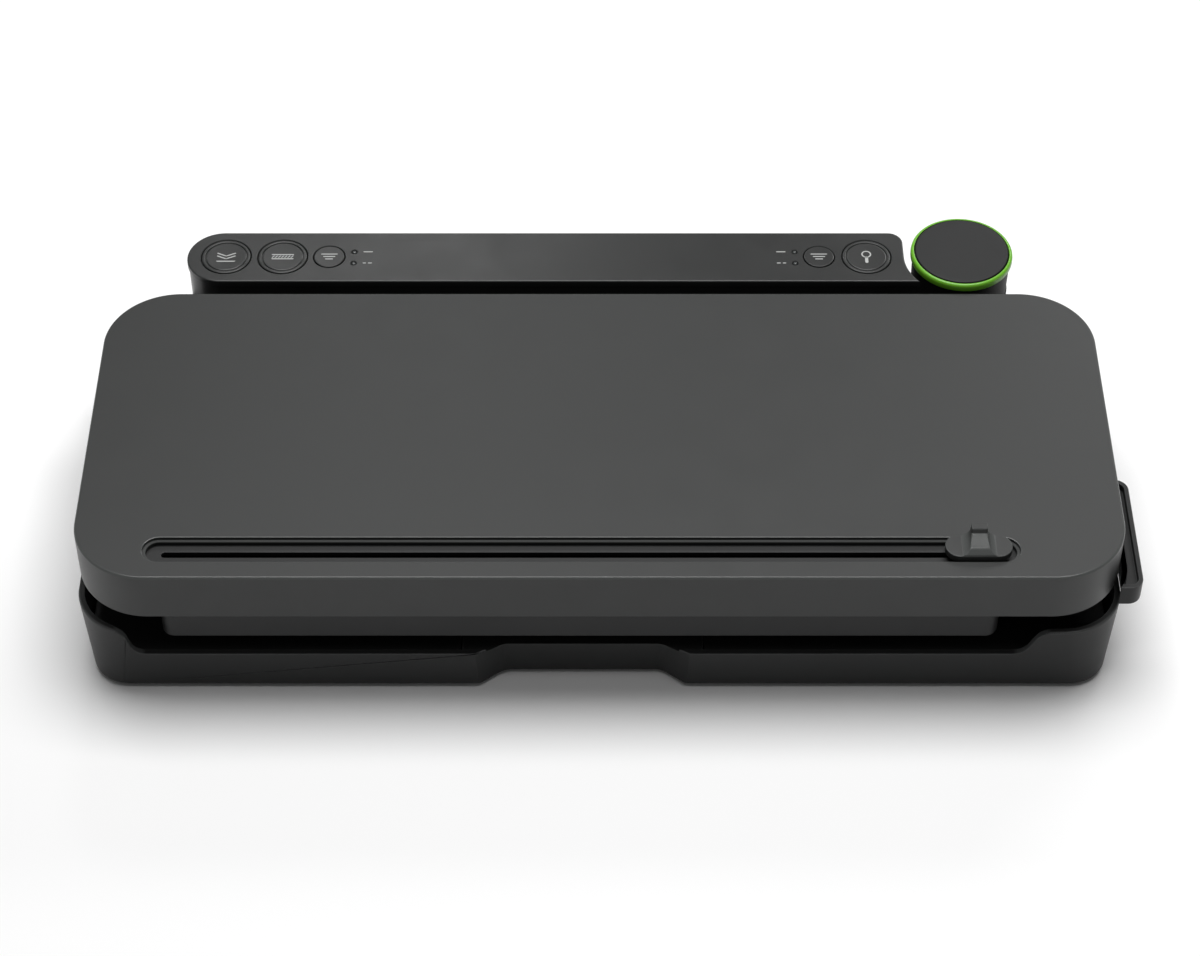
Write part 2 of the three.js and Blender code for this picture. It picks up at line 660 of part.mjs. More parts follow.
function panelCover() {
  const body = loft([
    { points: panelOutline(0), z: COVER_BOTTOM },
    { points: panelOutline(0), z: LID_TOP - 0.5 },
    { points: panelOutline(0.5), z: LID_TOP },
  ]);
  const posts = [[-90, 188], [-20, 188], [50, 188], [75, 188]].map(([x, y]) =>
    disc(x, y, 2.2, BOARD_Z + 1.6 + GAP, LID_TOP - 1, 14));
  return cut(
    join(cut(body, plate(panelOutline(3), COVER_BOTTOM - 1, LID_TOP - PANEL_THICKNESS)), ...posts),
    ...BUTTONS.map(({ x, radius }) => disc(x, BUTTON_Y, radius + BUTTON_GAP, 60, LID_TOP + 1, 28)),
    ...LIGHTS.map(({ x, y }) => disc(x, y, 1.2, 60, LID_TOP + 1, 12)),
  );
}

function button({ x, radius }) {
  const top = LID_TOP + 0.15;
  const cap = revolve(
    [
      [0, 62.3], [radius + 1, 62.3], [radius + 1, 63.1], [radius, 63.1], [radius, top - 0.4],
      [radius - 0.4, top], [0, top],
    ],
    x, BUTTON_Y, 22,
  );
  return join(cap, disc(x, BUTTON_Y, 2.6, 56.3, 62.5, 12));
}

function buttonKeypad() {
  const z = BOARD_Z + 1.6 + GAP;
  const sheet = box(PANEL_LEFT + 6, 119, BUTTON_Y - 5.5, BUTTON_Y + 5.5, z, z + 1.2);
  return join(sheet, ...BUTTONS.map(({ x }) => revolve([[0, z], [4.6, z], [3, z + 3.2], [0, z + 3.2]], x, BUTTON_Y, 12)));
}

add("panel_housing", panelHousing(), TOWER_COLOR, 0.45);
add("panel_cover", panelCover(), TOWER_COLOR, 0.38);
BUTTONS.forEach((spec) => add(spec.name, button(spec), TOWER_COLOR, 0.4));
LIGHTS.forEach(({ x, y }, i) => add(`status_light_${i + 1}`, disc(x, y, 0.9, 63.2, LID_TOP + 0.1, 12), 0x555a58, 0.2));
add("control_board", box(PANEL_LEFT + 10, 120, 168.5, 190, BOARD_Z, BOARD_Z + 1.6), BOARD, 0.5);
add("button_keypad", buttonKeypad(), RUBBER, 0.8);

// ---- Pump and electronics ----

function motorFan(x) {
  const blades = [];
  for (let k = 0; k < 6; k++) {
    const angle = k * 60;
    const blade = box(x, x + 4, MOTOR_Y - 1.6, MOTOR_Y + 1.6, MOTOR_Z + 2, MOTOR_Z + 9.5);
    blades.push(blade.translate([0, -MOTOR_Y, -MOTOR_Z]).rotate([angle, 0, 0]).translate([0, MOTOR_Y, MOTOR_Z]));
  }
  return cut(
    join(rodX(MOTOR_Y, MOTOR_Z, 3.6, x - 0.5, x + 4.5), ...blades),
    rodX(MOTOR_Y, MOTOR_Z, 1.6 + GAP, x - 1, x + 5, 12),
  );
}

function pumpMotor() {
  const can = join(
    rodX(MOTOR_Y, MOTOR_Z, MOTOR_RADIUS, -60, -18, 28),
    rodX(MOTOR_Y, MOTOR_Z, 4, -63, -15, 16),
  );
  return cut(can, rodX(MOTOR_Y, MOTOR_Z, 1.75, -64, -14, 16));
}

function pumpHead() {
  const head = join(
    box(6, 46, MOTOR_Y - 9.6, MOTOR_Y + 9.6, 12, 38),
    box(12, 40, MOTOR_Y - 7, MOTOR_Y + 7, 38, 45),
  );
  return cut(head, rodX(MOTOR_Y, MOTOR_Z, 2.2, 5, 16, 14));
}

function solenoidValve() {
  return join(
    box(60, 82, MOTOR_Y - 8, MOTOR_Y + 8, 12, 28),
    rodX(MOTOR_Y, 20, 2.4, 54, 88, 14),
    disc(71, MOTOR_Y, 5, 28, 34, 18),
  );
}

add("pump_motor", pumpMotor(), 0x8d9094, 0.35, 1);
add("motor_shaft", rodX(MOTOR_Y, MOTOR_Z, 1.6, -76, 12, 12), STEEL, 0.25, 1);
add("motor_fan", motorFan(-72), 0x2a2a2a, 0.5);
add("pump_head", pumpHead(), 0x2d2f30, 0.5);
add("solenoid_valve", solenoidValve(), 0x50524f, 0.5);
add("vacuum_tube", sweep([[26, 169, 9], [26, 150, 8.6], [26, 110, 9.4], [26, 76.5, 12]], 2.6, 10), 0x9a9a94, 0.5);
add("handheld_tube", sweep([[92, 177, 12], [112, 172, 9], [136, 174, 8.6], [DOCK_X, DOCK_Y, 13], [DOCK_X, DOCK_Y, 22.6]], 2.6, 16), 0x9a9a94, 0.5);
add("power_board", box(-172, -88, 168, 190.4, 8, 9.6), BOARD, 0.5);
add("transformer", join(
  box(-150, -122, 171, 188, 9.9, 30), box(-146, -126, 169.5, 189.5, 13, 27),
), 0x6c5a34, 0.5);
add("lid_microswitch", box(150, 163, HUMP_FRONT + 4, HUMP_REAR - 4, 5, 14), DARK, 0.5);

// ---- Latch ----

function latchLever() {
  // The inner edge keeps clear of the base's rounded corner, also when the lever is pressed.
  const besideBase = (clearance, front) => {
    const radius = RIM_CORNER + clearance;
    const middle = RIM_FRONT + RIM_CORNER;
    const points = [];
    for (let k = 6; k >= 0; k--) {
      const y = front + ((middle - front) * k) / 6;
      points.push([RIM_HALF_WIDTH - RIM_CORNER + Math.sqrt(radius ** 2 - (middle - y) ** 2), y]);
    }
    return points;
  };
  const rim = rounded([
    [LEVER_OUTER, LEVER_FRONT, 5.5], [LEVER_OUTER, LEVER_REAR, 5.5], [LEVER_INNER, LEVER_REAR],
    ...besideBase(LEVER_INNER - RIM_HALF_WIDTH, LEVER_FRONT),
  ], 6);
  const dish = rounded([
    [LEVER_OUTER - 1.8, LEVER_FRONT + 2, 3.4], [LEVER_OUTER - 1.8, LEVER_REAR - 2, 3.4],
    [LEVER_INNER + 0.5, LEVER_REAR - 2], ...besideBase(LEVER_INNER + 0.5 - RIM_HALF_WIDTH, LEVER_FRONT + 2),
  ], 6);
  const wall = [
    ...besideBase(LEVER_INNER + LEVER_WALL - RIM_HALF_WIDTH, LEVER_WALL_FRONT).reverse(),
    [LEVER_INNER + LEVER_WALL, 60], [LEVER_INNER, 60],
    ...besideBase(LEVER_INNER - RIM_HALF_WIDTH, LEVER_WALL_FRONT),
  ];
  const arm = [[54, 38.5], [63.5, 42], [90, 31], [94, 20], [84, 17], [80, 26]];
  const armOutline = arm.map(([y, z]) => new THREE.Vector2(y, z));
  return cut(
    join(
      cut(plate(rim, LEVER_BOTTOM, LEVER_TOP), plate(dish, LEVER_TOP - 3, LEVER_TOP + 1)),
      plate(rounded(wall), LEVER_WALL_BOTTOM, LEVER_BOTTOM + 1),
      barX(armOutline, LEVER_ARM, LEVER_ARM + 4),
      rodX(SHAFT_Y, SHAFT_Z, 8, LEVER_ARM, LEVER_ARM + 4, 28),
    ),
    rodX(SHAFT_Y, SHAFT_Z, SHAFT_RADIUS + GAP, LEVER_ARM - 1, LEVER_ARM + 2.8),
  );
}

function latchHook(x) {
  const outline = [[86, 24], [90, 24], [90, 41], [80, 41], [80, 38], [86, 37]];
  return cut(
    join(
      barX(outline.map(([y, z]) => new THREE.Vector2(y, z)), x - 2.5, x + 2.5),
      rodX(SHAFT_Y, SHAFT_Z, 5.6, x - 2.5, x + 2.5, 20),
    ),
    rodX(SHAFT_Y, SHAFT_Z, SHAFT_RADIUS + GAP / 2, x - 3, x + 3),
  );
}

add("latch_lever", latchLever(), BASE_COLOR, 0.42);
add("latch_shaft", rodX(SHAFT_Y, SHAFT_Z, SHAFT_RADIUS - 0.05, -189, LEVER_ARM + 2.4), STEEL, 0.35, 1);
add("latch_hook_left", latchHook(-HOOK_X), STEEL, 0.4, 1);
add("latch_hook_right", latchHook(HOOK_X), STEEL, 0.4, 1);

// ---- Handheld sealer ----

function handheldBody() {
  return revolve([
    [0, 28], [16.6, 28], [17.6, 30], [17.6, 50.6], [19.9, 51.2], [20.2, 64.9], [19.2, 65.1],
    [19.2, 66.4], [0, 66.4],
  ], DOCK_X, DOCK_Y, 32);
}

function handheldDock() {
  return revolve([
    [5.2, 23.3], [20.3, 23.3], [20.3, 50.2], [18.2, 50.2], [18.2, 25.5], [5.2, 25.5], [5.2, 23.3],
  ], DOCK_X, DOCK_Y, 32);
}

add("handheld_dock", handheldDock(), BASE_COLOR, 0.5);
add("handheld_body", handheldBody(), 0x232425, 0.45);
add("handheld_nozzle", revolve([[0, 25.8], [6, 25.8], [9, 27.7], [0, 27.7]], DOCK_X, DOCK_Y, 24), RUBBER, 0.8);
add("handheld_ring", revolve([
  [19.65, 65.4], [21.1, 65.6], [RING_RADIUS, 67.6], [20.4, 68.6], [19.65, 68.6], [19.65, 65.4],
], DOCK_X, DOCK_Y, 36), 0x77c132, 0.35);
add("handheld_cap", revolve([
  [0, 66.7], [19.35, 66.7], [19.35, 68.7], [18.9, HANDHELD_TOP], [14, HANDHELD_TOP + 0.1],
  [0, HANDHELD_TOP + 0.15],
], DOCK_X, DOCK_Y, 36), 0x2e302f, 0.5);

model.position.set(SHIFT_X, SHIFT_Y, 0);
const vacuumSealer = new THREE.Group();
vacuumSealer.name = "vacuum_sealer";
vacuumSealer.add(model);

export default vacuumSealer;
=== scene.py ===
"""Countertop vacuum sealer: the looks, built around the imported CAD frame. Metres, +Z up."""
import json
from math import acos, asin, cos, pi, radians, sin, tan

import bmesh
import bpy
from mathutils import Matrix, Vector


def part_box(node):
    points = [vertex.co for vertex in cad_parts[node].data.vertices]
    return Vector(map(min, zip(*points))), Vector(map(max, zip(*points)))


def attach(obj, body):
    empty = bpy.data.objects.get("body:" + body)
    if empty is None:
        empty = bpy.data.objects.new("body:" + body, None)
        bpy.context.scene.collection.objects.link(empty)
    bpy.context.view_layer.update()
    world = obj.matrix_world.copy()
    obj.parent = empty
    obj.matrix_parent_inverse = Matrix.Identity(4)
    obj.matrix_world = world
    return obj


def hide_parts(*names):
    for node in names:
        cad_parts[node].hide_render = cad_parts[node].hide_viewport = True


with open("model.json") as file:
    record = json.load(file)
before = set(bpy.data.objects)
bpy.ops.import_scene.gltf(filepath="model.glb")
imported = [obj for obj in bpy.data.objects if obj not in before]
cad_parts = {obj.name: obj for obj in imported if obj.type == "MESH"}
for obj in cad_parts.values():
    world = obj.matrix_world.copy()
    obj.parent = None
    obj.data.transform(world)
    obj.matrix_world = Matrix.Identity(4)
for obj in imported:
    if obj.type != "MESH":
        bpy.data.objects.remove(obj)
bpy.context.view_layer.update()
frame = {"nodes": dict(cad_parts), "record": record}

MM = 0.001

LID_LOW, LID_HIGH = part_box("lid_shell")
MID_X = (LID_LOW[0] + LID_HIGH[0]) / 2  # the lid's middle, from which the design's X is measured
FRONT_Y = LID_LOW[1]  # the lid's front face, from which the design's Y is measured


def at(x, y, z=0.0):
    """A design point, in millimetres from the lid's front middle at floor level, in the frame's metres."""
    return Vector((MID_X + x * MM, FRONT_Y + y * MM, z * MM))


# ---- Camera, floor and light ----

CAMERA_BACK = 0.7603  # from the lid's front face
CAMERA_RIGHT = 0.0002  # of the lid's middle
CAMERA_RISE = 0.8458  # above the lid's top
CAMERA_PITCH = 46.16  # degrees below the horizon
CAMERA_LENS = 91.2
WORLD_LIGHT = 0.13
LAMPS = [  # name, place, target, size, power
    ("overhead", (0.05, 0.30, 1.60), (0.0, -0.02, 0.03), (1.3, 0.8), 26.0),
    ("edge_strip", (0.1, -0.55, 2.00), (0.0, 0.0, 0.05), (1.6, 0.10), 4.0),
    ("rear_sheen", (0.75, 1.45, 1.10), (0.0, 0.0, 0.05), (0.7, 0.40), 6.0),
    ("panel_glint", (-0.20, 1.40, 1.20), (-0.05, 0.18, 0.06), (0.25, 0.20), 1.6),
]


def make_camera():
    data = bpy.data.cameras.new("camera")
    data.lens = CAMERA_LENS
    data.sensor_width = 36.0
    data.clip_end = 50.0
    camera = bpy.data.objects.new("camera", data)
    bpy.context.scene.collection.objects.link(camera)
    camera.location = (MID_X + CAMERA_RIGHT, FRONT_Y - CAMERA_BACK, LID_HIGH[2] + CAMERA_RISE)
    camera.rotation_euler = (radians(90.0 - CAMERA_PITCH), 0.0, 0.0)
    bpy.context.scene.camera = camera


def area_light(name, place, target, size, power):
    data = bpy.data.lights.new(name, "AREA")
    data.shape = "RECTANGLE"
    data.size, data.size_y = size
    data.energy = power
    lamp = bpy.data.objects.new(name, data)
    bpy.context.scene.collection.objects.link(lamp)
    lamp.location = place
    direction = Vector(target) - Vector(place)
    lamp.rotation_euler = direction.to_track_quat("-Z", "Y").to_euler()


def make_studio():
    world = bpy.data.worlds.new("studio")
    world.use_nodes = True
    background = world.node_tree.nodes["Background"]
    background.inputs["Color"].default_value = (1.0, 1.0, 1.0, 1.0)
    background.inputs["Strength"].default_value = WORLD_LIGHT
    bpy.context.scene.world = world
    bpy.context.scene.view_settings.view_transform = "Standard"
    for lamp in LAMPS:
        area_light(*lamp)

    mesh = bpy.data.meshes.new("floor")
    mesh.from_pydata([(-6, -6, 0), (6, -6, 0), (6, 6, 0), (-6, 6, 0)], [], [(0, 1, 2, 3)])
    floor = bpy.data.objects.new("floor", mesh)
    bpy.context.scene.collection.objects.link(floor)
    material = bpy.data.materials.new("floor")
    material.use_nodes = True
    shader = material.node_tree.nodes["Principled BSDF"]
    shader.inputs["Base Color"].default_value = (0.95, 0.95, 0.95, 1.0)
    shader.inputs["Roughness"].default_value = 0.9
    shader.inputs["Specular IOR Level"].default_value = 0.0
    mesh.materials.append(material)


make_camera()
make_studio()

# ---- Materials ----


def plastic(name, color, roughness=0.42, grain=0.05, grain_size=0.0004, specular=0.5, polish_and_highlight=0.0):
    """Moulded plastic: a fine spark-eroded grain, slow colour drift and faint handling marks in the gloss.

    The final argument, 0 to 1, sets how much glossier the rounded edges are and how much lighter their
    colour is. The lighter colour is a painted highlight on the edges that face part-way up."""
    material = bpy.data.materials.new(name)
    material.use_nodes = True
    tree = material.node_tree
    nodes, links = tree.nodes, tree.links
    shader = nodes["Principled BSDF"]
    shader.inputs["Specular IOR Level"].default_value = specular
    place = nodes.new("ShaderNodeTexCoord")

    drift = nodes.new("ShaderNodeTexNoise")
    drift.inputs["Scale"].default_value = 9.0
    drift.inputs["Detail"].default_value = 3.0
    tint = nodes.new("ShaderNodeMapRange")
    tint.inputs["To Min"].default_value = 0.93
    tint.inputs["To Max"].default_value = 1.07
    shade = nodes.new("ShaderNodeMix")
    shade.data_type = "RGBA"
    shade.blend_type = "MULTIPLY"
    shade.inputs["Factor"].default_value = 1.0
    shade.inputs["A"].default_value = (*color, 1.0)
    links.new(place.outputs["Object"], drift.inputs["Vector"])
    links.new(drift.outputs["Fac"], tint.inputs["Value"])
    links.new(tint.outputs["Result"], shade.inputs["B"])
    links.new(shade.outputs["Result"], shader.inputs["Base Color"])

    marks = nodes.new("ShaderNodeTexNoise")
    marks.inputs["Scale"].default_value = 60.0
    marks.inputs["Detail"].default_value = 6.0
    marks.inputs["Roughness"].default_value = 0.6
    gloss = nodes.new("ShaderNodeMapRange")
    gloss.inputs["From Min"].default_value = 0.3
    gloss.inputs["From Max"].default_value = 0.7
    gloss.inputs["To Min"].default_value = roughness - 0.03
    gloss.inputs["To Max"].default_value = roughness + 0.03
    links.new(place.outputs["Object"], marks.inputs["Vector"])
    links.new(marks.outputs["Fac"], gloss.inputs["Value"])
    links.new(gloss.outputs["Result"], shader.inputs["Roughness"])

    if polish_and_highlight > 0.0:
        # Only the rounded edges face part-way between up and sideways. They get a lower roughness and a
        # painted highlight, which is a lighter base colour.
        facing = nodes.new("ShaderNodeSeparateXYZ")
        edge = nodes.new("ShaderNodeValToRGB")
        stops = edge.color_ramp.elements
        stops[0].position, stops[0].color = 0.10, (0.0, 0.0, 0.0, 1.0)
        stops[1].position, stops[1].color = 0.35, (1.0, 1.0, 1.0, 1.0)
        stops.new(0.95).color = (1.0, 1.0, 1.0, 1.0)
        stops.new(0.995).color = (0.0, 0.0, 0.0, 1.0)
        links.new(place.outputs["Normal"], facing.inputs["Vector"])
        links.new(facing.outputs["Z"], edge.inputs["Fac"])
        highlight_and_gloss_mask = nodes.new("ShaderNodeMapRange")
        highlight_and_gloss_mask.inputs["To Max"].default_value = polish_and_highlight
        links.new(edge.outputs["Color"], highlight_and_gloss_mask.inputs["Value"])
        smooth = nodes.new("ShaderNodeMix")
        smooth.inputs["B"].default_value = 0.17
        links.new(highlight_and_gloss_mask.outputs["Result"], smooth.inputs["Factor"])
        links.new(gloss.outputs["Result"], smooth.inputs["A"])
        links.new(smooth.outputs["Result"], shader.inputs["Roughness"])
        # Painted highlight: the edges' base colour is made up to 3.2 times lighter, in place of light
        # caught on the rounded edges.
        painted_highlight = nodes.new("ShaderNodeMix")
        painted_highlight.data_type = "RGBA"
        painted_highlight.inputs["B"].default_value = (*[3.2 * channel for channel in color], 1.0)
        links.new(highlight_and_gloss_mask.outputs["Result"], painted_highlight.inputs["Factor"])
        links.new(shade.outputs["Result"], painted_highlight.inputs["A"])
        links.new(painted_highlight.outputs["Result"], shader.inputs["Base Color"])

    grains = nodes.new("ShaderNodeTexNoise")
    grains.inputs["Scale"].default_value = 1.0 / grain_size
    grains.inputs["Detail"].default_value = 2.0
    bump = nodes.new("ShaderNodeBump")
    bump.inputs["Strength"].default_value = grain
    bump.inputs["Distance"].default_value = 0.0002
    links.new(place.outputs["Object"], grains.inputs["Vector"])
    links.new(grains.outputs["Fac"], bump.inputs["Height"])
    links.new(bump.outputs["Normal"], shader.inputs["Normal"])
    return material


def metal(name, color, roughness=0.3):
    """Steel: the same grain and drift as the plastic, with a metallic surface."""
    material = plastic(name, color, roughness, 0.03, 0.0006)
    shader = material.node_tree.nodes["Principled BSDF"]
    shader.inputs["Metallic"].default_value = 1.0
    return material


LOOKS = {
    "lid_plastic": plastic("lid_plastic", (0.0240, 0.0252, 0.0246), 0.42, specular=0.38, polish_and_highlight=1.0),
    "base_plastic": plastic("base_plastic", (0.0220, 0.0225, 0.0225), 0.42, specular=0.18, polish_and_highlight=1.0),
    "deck_plastic": plastic("deck_plastic", (0.0130, 0.0134, 0.0136), 0.45, specular=0.3),
    "tower_plastic": plastic("tower_plastic", (0.0200, 0.0208, 0.0205), 0.32, specular=0.36, polish_and_highlight=0.5),
    "handheld_plastic": plastic(
        "handheld_plastic", (0.0120, 0.0125, 0.0125), 0.55, 0.12, 0.0005, specular=0.3),
    "green_plastic": plastic("green_plastic", (0.14, 0.42, 0.02), 0.3),
    "light_lens": plastic("light_lens", (0.06, 0.065, 0.065), 0.15),
    "print": plastic("print", (0.42, 0.43, 0.42), 0.5, 0.02),
    "gasket_rubber": plastic("gasket_rubber", (0.012, 0.012, 0.012), 0.75, 0.15, 0.0008),
    "seal_silicone": plastic("seal_silicone", (0.16, 0.045, 0.035), 0.6),
    "heat_bar": plastic("heat_bar", (0.04, 0.04, 0.04), 0.6),
    "bright_steel": metal("bright_steel", (0.6, 0.61, 0.62), 0.28),
    "motor_steel": metal("motor_steel", (0.42, 0.43, 0.44), 0.35),
    "tape": plastic("tape", (0.25, 0.19, 0.11), 0.55, 0.3, 0.0006),
    "circuit_board": plastic("circuit_board", (0.02, 0.11, 0.05), 0.4),
    "winding": plastic("winding", (0.2, 0.14, 0.05), 0.5),
    "tube_rubber": plastic("tube_rubber", (0.4, 0.4, 0.37), 0.45),
}

# ---- Shapes, in the design's millimetres ----


def rounded(corners, segments=12):
    """A closed outline from corners (x, y) or (x, y, radius)."""
    points = []
    for i, corner in enumerate(corners):
        here = Vector(corner[:2])
        radius = corner[2] if len(corner) > 2 else 0.0
        if radius <= 0.0:
            points.append(tuple(here))
            continue
        back = (Vector(corners[i - 1][:2]) - here).normalized()
        ahead = (Vector(corners[(i + 1) % len(corners)][:2]) - here).normalized()
        half = acos(max(-1.0, min(1.0, back.dot(ahead)))) / 2
        centre = here + (back + ahead).normalized() * (radius / sin(half))
        start = here + back * (radius / tan(half)) - centre
        side = back.x * ahead.y - back.y * ahead.x
        turn = (pi - 2 * half) if side < 0 else (2 * half - pi)
        for k in range(segments + 1):
            c, s = cos(turn * k / segments), sin(turn * k / segments)
            points.append((centre.x + start.x * c - start.y * s, centre.y + start.x * s + start.y * c))
    return points


def rectangle(x0, y0, x1, y1, radius=0.0, segments=12):
    return rounded([(x0, y0, radius), (x1, y0, radius), (x1, y1, radius), (x0, y1, radius)], segments)


def circle(x, y, radius, segments=64):
    angles = [2 * pi * k / segments for k in range(segments)]
    return [(x + radius * cos(angle), y + radius * sin(angle)) for angle in angles]


def stadium(x0, x1, y, width, segments=24):
    return rectangle(x0, y - width / 2, x1, y + width / 2, width / 2 - 0.001, segments)


def mesh_object(name, points, faces):
    mesh = bpy.data.meshes.new(name)
    mesh.from_pydata([at(*p) for p in points], [], faces)
    work = bmesh.new()
    work.from_mesh(mesh)
    bmesh.ops.recalc_face_normals(work, faces=work.faces)
    work.to_mesh(mesh)
    work.free()
    obj = bpy.data.objects.new(name, mesh)
    bpy.context.scene.collection.objects.link(obj)
    return obj


def loft(levels, turn=lambda u, v, w: (u, v, w), name="shape"):
    """A closed body through stacked outlines (points, height) that have the same number of points."""
    count = len(levels[0][0])
    points = [turn(u, v, w) for outline, w in levels for u, v in outline]
    faces = [tuple(range(count)), tuple(range(len(points) - count, len(points)))]
    for level in range(len(levels) - 1):
        for i in range(count):
            a, b = level * count + i, level * count + (i + 1) % count
            faces.append((a, b, b + count, a + count))
    return mesh_object(name, points, faces)


def plate(outline, z0, z1):
    return loft([(outline, z0), (outline, z1)])


def box(x0, x1, y0, y1, z0, z1):
    return plate([(x0, y0), (x1, y0), (x1, y1), (x0, y1)], z0, z1)


def disc(x, y, radius, z0, z1, segments=64):
    return plate(circle(x, y, radius, segments), z0, z1)


def bar_x(outline, x0, x1):
    """A bar along X from an outline of (Y, Z) points."""
    return loft([(outline, x0), (outline, x1)], lambda u, v, w: (w, u, v))


def bar_y(outline, y0, y1):
    """A bar along Y from an outline of (X, Z) points."""
    return loft([(outline, y0), (outline, y1)], lambda u, v, w: (u, w, v))


def rod_x(y, z, radius, x0, x1, segments=48):
    return bar_x(circle(y, z, radius, segments), x0, x1)


def rod_y(x, z, radius, y0, y1, segments=48):
    return bar_y(circle(x, z, radius, segments), y0, y1)


def revolve(profile, x, y, segments=96):
    """A body turned about the upright line through (x, y). A profile whose ends meet makes a ring."""
    ring = profile[0] == profile[-1]
    rows = profile[:-1] if ring else profile
    points, starts = [], []
    for radius, z in rows:
        starts.append(len(points))
        if radius < 1e-6:
            points.append((x, y, z))
        else:
            points += [(px, py, z) for px, py in circle(x, y, radius, segments)]
    faces = []
    for row in range(len(rows) if ring else len(rows) - 1):
        low, high = starts[row], starts[(row + 1) % len(rows)]
        low_pole, high_pole = rows[row][0] < 1e-6, rows[(row + 1) % len(rows)][0] < 1e-6
        for k in range(segments):
            following = (k + 1) % segments
            a, b = (low, low) if low_pole else (low + k, low + following)
            c, d = (high, high) if high_pole else (high + following, high + k)
            face = tuple(dict.fromkeys((a, b, c, d)))
            if len(face) > 2:
                faces.append(face)
    return mesh_object("turned", points, faces)


def bake(obj):
    """The modifiers become the mesh."""
    graph = bpy.context.evaluated_depsgraph_get()
    mesh = bpy.data.meshes.new_from_object(obj.evaluated_get(graph), depsgraph=graph)
    obj.modifiers.clear()
    old = obj.data
    obj.data = mesh
    bpy.data.meshes.remove(old)
    return obj


def combine(obj, operation, tools):
    for tool in tools:
        step = obj.modifiers.new("step", "BOOLEAN")
        step.operation = operation
        step.solver = "MANIFOLD"
        step.object = tool
    bake(obj)
    for tool in tools:
        mesh = tool.data
        bpy.data.objects.remove(tool)
        bpy.data.meshes.remove(mesh)
    return obj


def join(obj, *others):
    return combine(obj, "UNION", others)


def cut(obj, *tools):
    return combine(obj, "DIFFERENCE", tools)


def overlap(obj, other):
    return combine(obj, "INTERSECT", [other])


def soften(obj, edge, steps=2, angle=38.0):
    """Rounds the sharp edges by edge millimetres and shades the rest smoothly."""
    work = bmesh.new()
    work.from_mesh(obj.data)
    bmesh.ops.remove_doubles(work, verts=work.verts, dist=0.004 * MM)
    bmesh.ops.dissolve_limit(work, angle_limit=radians(0.3), verts=work.verts, edges=work.edges)
    work.to_mesh(obj.data)
    work.free()
    if edge > 0.0:
        bevel = obj.modifiers.new("edge", "BEVEL")
        bevel.width = edge * MM
        bevel.segments = steps
        bevel.limit_method = "ANGLE"
        bevel.angle_limit = radians(angle)
        bevel.use_clamp_overlap = False
        bevel.miter_outer = "MITER_ARC"
        bake(obj)
    obj.data.polygons.foreach_set("use_smooth", [True] * len(obj.data.polygons))
    obj.data.set_sharp_from_angle(angle=radians(angle))
    weights = obj.modifiers.new("shading", "WEIGHTED_NORMAL")
    weights.keep_sharp = True
    return bake(obj)


SLOT_OF = {row["node"]: row["material_slot"] for row in frame["record"]["subparts"]}
BODY_OF = {node: body for body, nodes in frame["record"]["behaviour"]["bodies"].items() for node in nodes}


def show(obj, node, edge=0.0, steps=2, angle=38.0):
    """The finished piece that is seen in place of a CAD node."""
    soften(obj, edge, steps, angle)
    obj.name = node + "_look"
    obj.data.materials.clear()
    obj.data.materials.append(LOOKS[SLOT_OF[node]])
    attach(obj, BODY_OF[node])
    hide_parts(node)
    return obj


# ---- Lid ----

LID_TOP = 66.0
LID_EDGE = 44.0
LID_DEPTH = 157.0
LID_WALL = 2.6
HINGE_X, HINGE_Y, HINGE_Z = 120.0, 145.0, 58.0
PIN_BORE = 2.8
HOOK_X = 176.0
CUTTER_Y = 14.6
SLOT = (-172.7, 158.9, 12.3)  # left end, right end, width
SKIRT = (-168.0, 4.2, 153.0, 78.0)  # left, front, right, rear
SKIRT_EDGE = 27.9
SEAL_Y = 25.0


def lid_outline(inset, segments=36):
    return rectangle(-200 + inset, inset, 200 - inset, LID_DEPTH - inset, 29 - inset, segments)


def hinge_notches(z0, z1):
    return [box(x - 7, x + 7, HINGE_Y - 9, LID_DEPTH + 1, z0, z1) for x in (-HINGE_X, HINGE_X)]


def rounded_top(outline, low, high, radius, steps=5):
    """Loft levels of a wall whose upper edge is rounded."""
    levels = [(outline(0.0), low), (outline(0.0), high - radius)]
    for k in range(1, steps + 1):
        angle = pi / 2 * k / steps
        levels.append((outline(radius * (1 - cos(angle))), high - radius * (1 - sin(angle))))
    return levels


def lid_shell():
    levels = [(lid_outline(0.5), LID_EDGE), (lid_outline(0.15), LID_EDGE + 0.15)]
    body = loft(levels + rounded_top(lid_outline, LID_EDGE + 0.5, LID_TOP, 1.0, 6))
    left, right, width = SLOT
    opening = lambda grow: stadium(left - grow, right + grow, CUTTER_Y, width + 2 * grow, 30)
    channel = loft([
        (opening(-1.2), LID_TOP - 5), (opening(-1.2), LID_TOP - 1.45), (opening(-0.95), LID_TOP - 1.2),
        (opening(0.0), LID_TOP - 1.2), (opening(0.0), LID_TOP - 0.45), (opening(0.15), LID_TOP - 0.15),
        (opening(0.45), LID_TOP), (opening(0.45), LID_TOP + 1),
    ])
    hollow = plate(lid_outline(LID_WALL), LID_EDGE - 1, LID_TOP - 2.8)
    return cut(body, hollow, channel, *hinge_notches(LID_EDGE - 1, HINGE_Z + 4.5))


